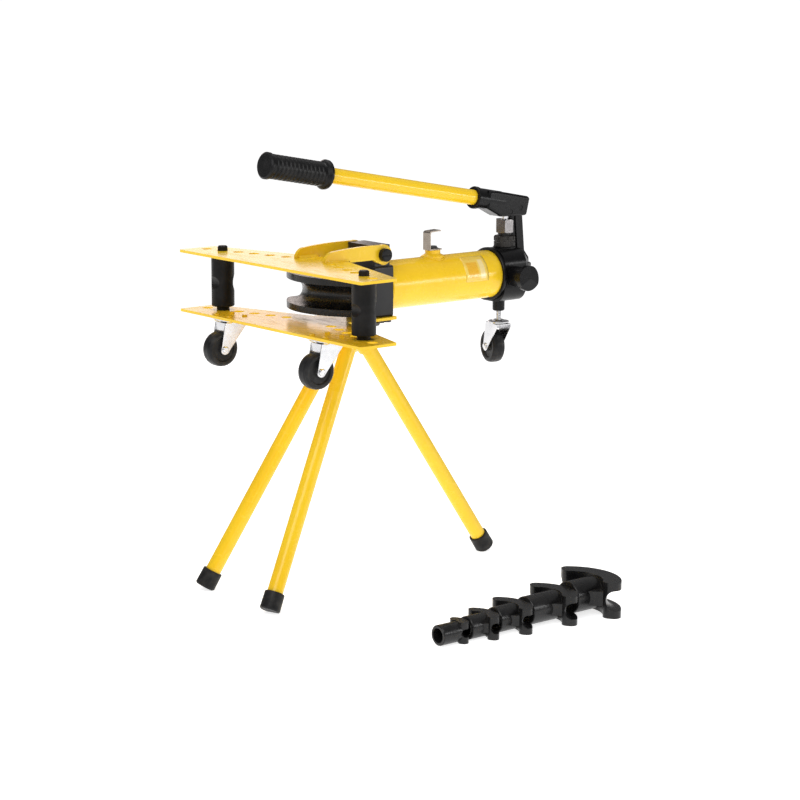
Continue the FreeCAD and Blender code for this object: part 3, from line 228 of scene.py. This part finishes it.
YELLOW = (0.96, 0.635, 0.022)
YELLOW_DEEP = (0.93, 0.575, 0.015)
MATERIALS = {
    "yellow": enamel("yellow_enamel", YELLOW, YELLOW_DEEP, (0.93, 0.66, 0.17), (0.22, 0.46), 0.7, 0.10,
                     coat=0.16, shine=0.32),
    "black": enamel("black_enamel", (0.004, 0.004, 0.0045), (0.008, 0.0075, 0.008), (0.08, 0.075, 0.07),
                    (0.26, 0.46), 0.4, 0.12, coat=0.06, shine=0.16),
    "block": enamel("black_block", (0.012, 0.012, 0.013), (0.024, 0.023, 0.024), (0.12, 0.115, 0.11),
                    (0.3, 0.5), 0.4, 0.1, coat=0.1, shine=0.25),
    "cast": casting("black_cast", (0.005, 0.005, 0.0055), (0.012, 0.0115, 0.012), (0.3, 0.52), 0.35),
    "rough_cast": casting("rough_cast", (0.012, 0.011, 0.011), (0.05, 0.046, 0.043), (0.3, 0.62), 0.9, 0.9,
                          (0.5, 0.48, 0.45)),
    "die": casting("die_black", (0.005, 0.005, 0.0055), (0.012, 0.0115, 0.012), (0.2, 0.36), 0.2, 0.3,
                   shine=0.32),
    "zinc": metal("zinc_plate", (0.72, 0.72, 0.73), (0.58, 0.585, 0.6), (0.2, 0.42), (1.0, 1.0, 8.0),
                  spangle=0.25),
    "steel": metal("bright_steel", (0.55, 0.55, 0.55), (0.42, 0.41, 0.4), (0.22, 0.45), (1.0, 1.0, 14.0)),
    "gland": metal("gland_steel", (0.3, 0.285, 0.285), (0.17, 0.16, 0.16), (0.24, 0.46), (1.0, 1.0, 10.0)),
    "dark_steel": metal("dark_steel", (0.085, 0.083, 0.082), (0.045, 0.043, 0.042), (0.28, 0.5),
                        (1.0, 1.0, 10.0)),
    "hook": metal("hook_steel", (0.36, 0.31, 0.26), (0.22, 0.165, 0.12), (0.24, 0.44), (10.0, 1.0, 1.0),
                  spangle=0.2),
    "chrome": metal("chromed_rod", (0.8, 0.8, 0.82), (0.7, 0.7, 0.72), (0.05, 0.16), (12.0, 1.0, 1.0), 0.12),
    "bronze": metal("bronze", (0.62, 0.40, 0.19), (0.42, 0.25, 0.11), (0.22, 0.42), (1.0, 12.0, 1.0)),
    "foot": rubber("foot_rubber", (0.012, 0.012, 0.0125), (0.03, 0.029, 0.028), (0.32, 0.6), 0.25),
    "seal": rubber("seal_rubber", (0.02, 0.02, 0.02), (0.035, 0.035, 0.035), (0.5, 0.7), 0.2),
    "grip": rubber("grip_rubber", (0.007, 0.007, 0.0075), (0.015, 0.0145, 0.015), (0.22, 0.42), 0.16, 0.2),
    "wheel": rubber("wheel_rubber", (0.012, 0.012, 0.013), (0.03, 0.03, 0.03), (0.28, 0.5), 0.14, 0.3),
}

FINISH = {
    "yellow": ["lower_wing_plate", "upper_wing_plate", "yoke_arms", "cylinder_tube", "filler_boss",
               "leg_front_far", "leg_front_near", "leg_rear", "handle_tube", "tripod_head", "caster_bolts"],
    "black": ["pump_body", "rear_caster_collar", "lever_socket", "link_straps", "release_knob", "end_ring"],
    "block": ["front_block"],
    "cast": ["yoke_pins", "lever_pins", "roller_far", "roller_near"],
    "rough_cast": ["barrel_locknut"],
    "die": ["bending_die"] + [f"loose_die_{i}" for i in range(1, 6)],
    "zinc": ["caster_plates", "rear_caster_stem"] + [f"caster_{kind}_{w}" for kind in ("fork", "axle")
                                                      for w in ("far", "near", "rear")],
    "steel": ["pressure_barrel", "check_valve_balls", "piston_head", "release_stem"],
    "gland": ["gland_nut"],
    "dark_steel": ["block_bolts", "pump_barrel", "filler_cap", "head_bolts", "link_pin",
                   "return_spring", "socket_screw"],
    "hook": ["hanger_strap"],
    "chrome": ["ram_rod", "pump_plunger"],
    "bronze": ["gland_bush"],
    "foot": ["foot_caps"],
    "seal": ["plunger_seal", "piston_seal"],
    "grip": ["handle_grip"],
    "wheel": [f"caster_wheel_{w}" for w in ("far", "near", "rear")],
}
for finish, names in FINISH.items():
    for name in names:
        mesh = NODES[name].data
        mesh.materials.clear()
        mesh.materials.append(MATERIALS[finish])


# ---------------------------------------------------------------- pieces made here
def middle(node):
    low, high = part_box(node)
    return (low + high) / 2


def made(name, verts, faces, material, body, smooth=True):
    """A closed mesh with one material that rides on a body."""
    mesh = bpy.data.meshes.new(name)
    mesh.from_pydata([tuple(v) for v in verts], [], faces)
    work = bmesh.new()
    work.from_mesh(mesh)
    bmesh.ops.recalc_face_normals(work, faces=work.faces)
    work.to_mesh(mesh)
    work.free()
    mesh.polygons.foreach_set("use_smooth", [smooth] * len(mesh.polygons))
    mesh.materials.append(MATERIALS[material] if isinstance(material, str) else material)
    piece = bpy.data.objects.new(name, mesh)
    bpy.context.scene.collection.objects.link(piece)
    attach(piece, body)
    return piece


def swept(path, radii, sides, closed=False):
    """Vertices and faces of a tube along a path, with a radius at each point and its ends closed."""
    verts, faces = [], []
    count = len(path)
    side_axis = None
    for i, point in enumerate(path):
        before = path[(i - 1) % count] if closed or i else path[i]
        after = path[(i + 1) % count] if closed or i < count - 1 else path[i]
        along = (after - before).normalized()
        if side_axis is None:
            side_axis = along.orthogonal().normalized()
        side_axis = (side_axis - along * side_axis.dot(along)).normalized()
        other = along.cross(side_axis)
        for k in range(sides):
            turn = 2 * pi * k / sides
            verts.append(point + (side_axis * cos(turn) + other * sin(turn)) * radii[i])
    for i in range(count if closed else count - 1):
        j = (i + 1) % count
        for k in range(sides):
            n = (k + 1) % sides
            faces.append((i * sides + k, i * sides + n, j * sides + n, j * sides + k))
    if not closed:
        faces.append(tuple(range(sides))[::-1])
        faces.append(tuple((count - 1) * sides + k for k in range(sides)))
    return verts, faces


def weld_bead(name, path, radius, ripple, material, body, closed=False):
    """A welded bead: a tube with the overlapping ripples of the weld pool."""
    run, radii = 0.0, []
    for i, point in enumerate(path):
        if i:
            run += (point - path[i - 1]).length
        wave = abs(sin(pi * run / ripple))
        ends = 1.0 if closed else min(1.0, 0.35 + min(i, len(path) - 1 - i) * 0.25)
        radii.append(radius * (0.82 + 0.18 * wave) * ends)
    verts, faces = swept(path, radii, 10, closed)
    return made(name, verts, faces, material, body)


THREAD_STEPS_PER_TURN = 24
THREAD_DEPTH = 0.42  # of the pitch
THREAD_SINK = 0.0002


def thread(name, centre, radius, length, pitch, material, body):
    """External thread round an upright axis: a helical ridge that fades out at both ends."""
    steps = int(length / pitch * THREAD_STEPS_PER_TURN)
    verts, faces = [], []
    depth = pitch * THREAD_DEPTH
    root = radius - THREAD_SINK
    for i in range(steps + 1):
        turn = 2 * pi * i / THREAD_STEPS_PER_TURN
        z = length * i / steps
        fade = min(1.0, 8.0 * min(i, steps - i) / steps + 0.05)
        out = Vector((cos(turn), sin(turn), 0))
        crest = radius + depth * fade
        for r, dz in ((root, -0.46), (crest, -0.1), (crest, 0.1), (root, 0.46)):
            verts.append(centre + out * r + Vector((0, 0, z + dz * pitch * fade)))
    for i in range(steps):
        for k in range(4):
            n = (k + 1) % 4
            faces.append((4 * i + k, 4 * i + n, 4 * i + 4 + n, 4 * i + 4 + k))
    faces.append((3, 2, 1, 0))
    faces.append(tuple(4 * steps + k for k in range(4)))
    return made(name, verts, faces, material, body, smooth=False)


cyl_low, cyl_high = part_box("cylinder_tube")
CYL_R = (cyl_high.z - cyl_low.z) / 2
CYL_MID = (cyl_low + cyl_high) / 2
# The label's place: two distances along the cylinder and two angles up its near side.
LABEL_X0 = cyl_low.x + 0.205
LABEL_X1 = cyl_low.x + 0.270
LABEL_LOW = radians(-5)
LABEL_HIGH = radians(62)
LABEL_SINK = 0.0002
LABEL_RISE = 0.0005
LABEL_STEPS_ALONG = 12
LABEL_STEPS_AROUND = 28
LABEL_Z0 = CYL_MID.z + CYL_R * sin(LABEL_LOW)
LABEL_Z1 = CYL_MID.z + CYL_R * sin(LABEL_HIGH)


def label_material():
    """Plain printed label: a yellow ground with one orange block and one pale bar."""
    s = Surface("label_print")
    parts = s.add("ShaderNodeSeparateXYZ", {"Vector": s.coords})
    x = s.combine("DIVIDE", s.combine("SUBTRACT", parts.outputs["X"], LABEL_X0), LABEL_X1 - LABEL_X0)
    z = s.combine("DIVIDE", s.combine("SUBTRACT", parts.outputs["Z"], LABEL_Z0), LABEL_Z1 - LABEL_Z0)

    def band(value, low, high):
        inside = s.combine("GREATER_THAN", value, low)
        return s.combine("MULTIPLY", inside, s.combine("LESS_THAN", value, high))

    ground = s.mix(s.spread(s.noise(30.0, 4.0), 0.35, 0.7), (0.9, 0.66, 0.13), (0.9, 0.6, 0.08))
    block = s.combine("MULTIPLY", band(x, 0.12, 0.58), band(z, 0.16, 0.8))
    bar = s.combine("MULTIPLY", band(x, 0.66, 0.86), band(z, 0.1, 0.88))
    color = s.mix(block, ground, (0.88, 0.48, 0.025))
    color = s.mix(bar, color, (0.92, 0.74, 0.34))
    print_specks = s.spread(s.noise(700.0, 2.0), 0.62, 0.7, 0.0, 0.3)
    color = s.mix(print_specks, color, (0.8, 0.5, 0.06))
    normal = s.bump(s.noise(300.0, 2.0), 0.05, 0.0002)
    return s.finish(color, s.spread(s.noise(90.0, 3.0), 0.3, 0.7, 0.2, 0.36), normal, Coat_Weight=0.5,
                    Coat_Roughness=0.08)


def label():
    """Thin printed film, wrapped round the near side of the cylinder."""
    along, around = LABEL_STEPS_ALONG, LABEL_STEPS_AROUND
    verts, faces = [], []
    for layer in (CYL_R - LABEL_SINK, CYL_R + LABEL_RISE):
        for i in range(along + 1):
            x = LABEL_X0 + (LABEL_X1 - LABEL_X0) * i / along
            for k in range(around + 1):
                turn = LABEL_LOW + (LABEL_HIGH - LABEL_LOW) * k / around
                verts.append((x, CYL_MID.y - layer * cos(turn), CYL_MID.z + layer * sin(turn)))
    row = around + 1
    top = (along + 1) * row
    for i in range(along):
        for k in range(around):
            a = i * row + k
            faces.append((a, a + 1, a + row + 1, a + row))
            faces.append((top + a, top + a + row, top + a + row + 1, top + a + 1))
    for i in range(along):
        for k in (0, around):
            a, b = i * row + k, (i + 1) * row + k
            faces.append((a, b, top + b, top + a))
    for k in range(around):
        for i in (0, along):
            a, b = i * row + k, i * row + k + 1
            faces.append((a, b, top + b, top + a))
    made("cylinder_label", verts, faces, label_material(), "frame")


label()

# Weld beads: along the outer foot of each yoke arm, and round the foot of the filler neck.
ARM_WELD_FROM = 0.006
ARM_WELD_RUN = 0.058
ARM_WELD_STEPS = 58
ARM_BEAD_R = 0.0026
ARM_BEAD_RIPPLE = 0.0036
WELD_CLEAR = 0.0004
FILLER_WELD_STEPS = 120
FILLER_BEAD_R = 0.0022
FILLER_BEAD_RIPPLE = 0.0034
FILLER_BEAD_OUT = 0.0005
FILLER_BEAD_UP = 0.0003
plate_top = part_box("upper_wing_plate")[1].z
arms_low, arms_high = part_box("yoke_arms")
for side, word in ((-1, "near"), (1, "far")):
    y = (arms_low.y if side < 0 else arms_high.y) + side * WELD_CLEAR
    start = arms_low.x + ARM_WELD_FROM
    path = [Vector((start + ARM_WELD_RUN * i / ARM_WELD_STEPS, y, plate_top + WELD_CLEAR))
            for i in range(ARM_WELD_STEPS + 1)]
    weld_bead(f"arm_weld_{word}", path, ARM_BEAD_R, ARM_BEAD_RIPPLE, "yellow", "wing")

boss_low, boss_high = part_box("filler_boss")
boss = (boss_low + boss_high) / 2
BOSS_R = (boss_high.x - boss_low.x) / 2
path = []
weld_r = BOSS_R + FILLER_BEAD_OUT
for i in range(FILLER_WELD_STEPS):
    turn = 2 * pi * i / FILLER_WELD_STEPS
    y = weld_r * sin(turn)
    height = CYL_MID.z + sqrt(CYL_R ** 2 - y ** 2)
    path.append(Vector((boss.x + weld_r * cos(turn), boss.y + y, height + FILLER_BEAD_UP)))
weld_bead("filler_weld", path, FILLER_BEAD_R, FILLER_BEAD_RIPPLE, "yellow", "frame",
          closed=True)

# Threads that show between the pieces: on the rear caster's stem and on the pump barrel.
STEM_R = 0.005
STEM_PITCH = 0.0019
STEM_ABOVE_FORK = 0.008
BARREL_R = 0.0145
BARREL_PITCH = 0.002
BARREL_OVERRUN = 0.001
collar_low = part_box("rear_caster_collar")[0].z
stem = middle("rear_caster_collar")
stem_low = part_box("caster_fork_rear")[1].z + STEM_ABOVE_FORK
thread("caster_stem_thread", Vector((stem.x, stem.y, stem_low)), STEM_R, collar_low - stem_low, STEM_PITCH,
       "zinc", "frame")
locknut_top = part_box("barrel_locknut")[1].z
barrel = middle("pump_barrel")
gland_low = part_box("gland_nut")[0].z
thread("barrel_thread", Vector((barrel.x, barrel.y, locknut_top - BARREL_OVERRUN)), BARREL_R,
       gland_low - locknut_top + 2 * BARREL_OVERRUN, BARREL_PITCH, "dark_steel", "frame")


# ---------------------------------------------------------------- floor, light and camera
FLOOR_HALF = 90.0
FLOOR_GLOW = 0.75


def floor():
    """White studio floor that glows a little, so that it stays white under the object."""
    half = FLOOR_HALF
    mesh = bpy.data.meshes.new("studio_floor")
    corners = [(-half, -half, 0), (half, -half, 0), (half, half, 0), (-half, half, 0)]
    mesh.from_pydata(corners, [], [(0, 1, 2, 3)])
    s = Surface("floor_white")
    tone = s.mix(s.noise(2.0, 2.0), (0.93, 0.93, 0.93), (0.95, 0.95, 0.95))
    s.put(s.shader.inputs["Emission Color"], (1.0, 1.0, 1.0, 1.0))
    material = s.finish(tone, 0.9, s.bump(s.noise(40.0, 2.0), 0.02, 0.001), Emission_Strength=FLOOR_GLOW)
    mesh.materials.append(material)
    plane = bpy.data.objects.new("studio_floor", mesh)
    bpy.context.scene.collection.objects.link(plane)


def softbox(name, place, target, width, height, power, tint):
    """Rectangular area light at a place, turned towards its target."""
    light = bpy.data.lights.new(name, "AREA")
    light.shape = "RECTANGLE"
    light.size = width
    light.size_y = height
    light.energy = power
    light.color = tint
    lamp = bpy.data.objects.new(name, light)
    lamp.location = place
    lamp.rotation_mode = "QUATERNION"
    lamp.rotation_quaternion = (Vector(target) - Vector(place)).to_track_quat("-Z", "Y")
    bpy.context.scene.collection.objects.link(lamp)


ROOM_STRENGTH = 0.38
# Height of the direction looked in, and the room's colour there.
ROOM_HORIZON = (0.0, (0.75, 0.75, 0.75, 1))
ROOM_BAND = (0.3, (0.42, 0.42, 0.43, 1))
ROOM_CEILING = (0.75, (1.0, 1.0, 1.0, 1))


def world():
    """Soft white room with a darker band between the horizon and the ceiling."""
    room = bpy.data.worlds.new("studio")
    bpy.context.scene.world = room
    room.use_nodes = True
    tree = room.node_tree
    tree.nodes.clear()
    coords = tree.nodes.new("ShaderNodeTexCoord")
    split = tree.nodes.new("ShaderNodeSeparateXYZ")
    ramp = tree.nodes.new("ShaderNodeValToRGB")
    shade = tree.nodes.new("ShaderNodeBackground")
    out = tree.nodes.new("ShaderNodeOutputWorld")
    tree.links.new(coords.outputs["Generated"], split.inputs[0])
    tree.links.new(split.outputs["Z"], ramp.inputs["Fac"])
    tree.links.new(ramp.outputs["Color"], shade.inputs["Color"])
    tree.links.new(shade.outputs[0], out.inputs[0])
    stops = ramp.color_ramp.elements
    for stop, (height, color) in ((stops[0], ROOM_HORIZON), (stops[1], ROOM_CEILING)):
        stop.position = height
        stop.color = color
    stops.new(ROOM_BAND[0]).color = ROOM_BAND[1]
    shade.inputs["Strength"].default_value = ROOM_STRENGTH


LENS = 105.16
SENSOR = 36.0
CAMERA_AT = Vector((-3.13594, -3.76503, 1.36397))
CAMERA_FORWARD = Vector((0.62075, 0.76026, -0.19150))
CAMERA_RIGHT = Vector((0.77512, -0.63181, 0.00427))
CAMERA_NEAR = 0.05
CAMERA_FAR = 400.0


def camera():
    """Long-lens camera where the photographer stood."""
    data = bpy.data.cameras.new("camera")
    data.lens = LENS
    data.sensor_width = SENSOR
    data.clip_start = CAMERA_NEAR
    data.clip_end = CAMERA_FAR
    cam = bpy.data.objects.new("camera", data)
    forward = CAMERA_FORWARD.normalized()
    right = (CAMERA_RIGHT - forward * CAMERA_RIGHT.dot(forward)).normalized()
    up = right.cross(forward)
    rows = [(right[i], up[i], -forward[i]) for i in range(3)]
    cam.matrix_world = Matrix.Translation(CAMERA_AT) @ Matrix(rows).to_4x4()
    bpy.context.scene.collection.objects.link(cam)
    bpy.context.scene.camera = cam


floor()
world()
centre = (cad_low + cad_high) / 2
STAND = (centre.x, centre.y, 0.5)
CYLINDER = (0.1, 0.13, 0.64)
# Each light's name, place, target, width, height, power in watts and tint.
LIGHTS = [
    ("key_left", (-2.4, -1.6, 2.6), STAND, 2.2, 2.2, 50.0, (1.0, 1.0, 1.0)),
    ("fill_right", (2.0, -2.4, 0.9), CYLINDER, 1.2, 0.5, 14.0, (1.0, 1.0, 1.0)),
    ("top", (0.3, 0.6, 3.2), STAND, 2.6, 2.6, 30.0, (1.0, 1.0, 1.0)),
    ("back", (1.2, 3.2, 1.6), STAND, 2.0, 1.4, 14.0, (1.0, 0.86, 0.8)),
]
for light_row in LIGHTS:
    softbox(*light_row)
camera()
bpy.context.scene.view_settings.view_transform = "Standard"
bpy.context.scene.view_settings.look = "None"
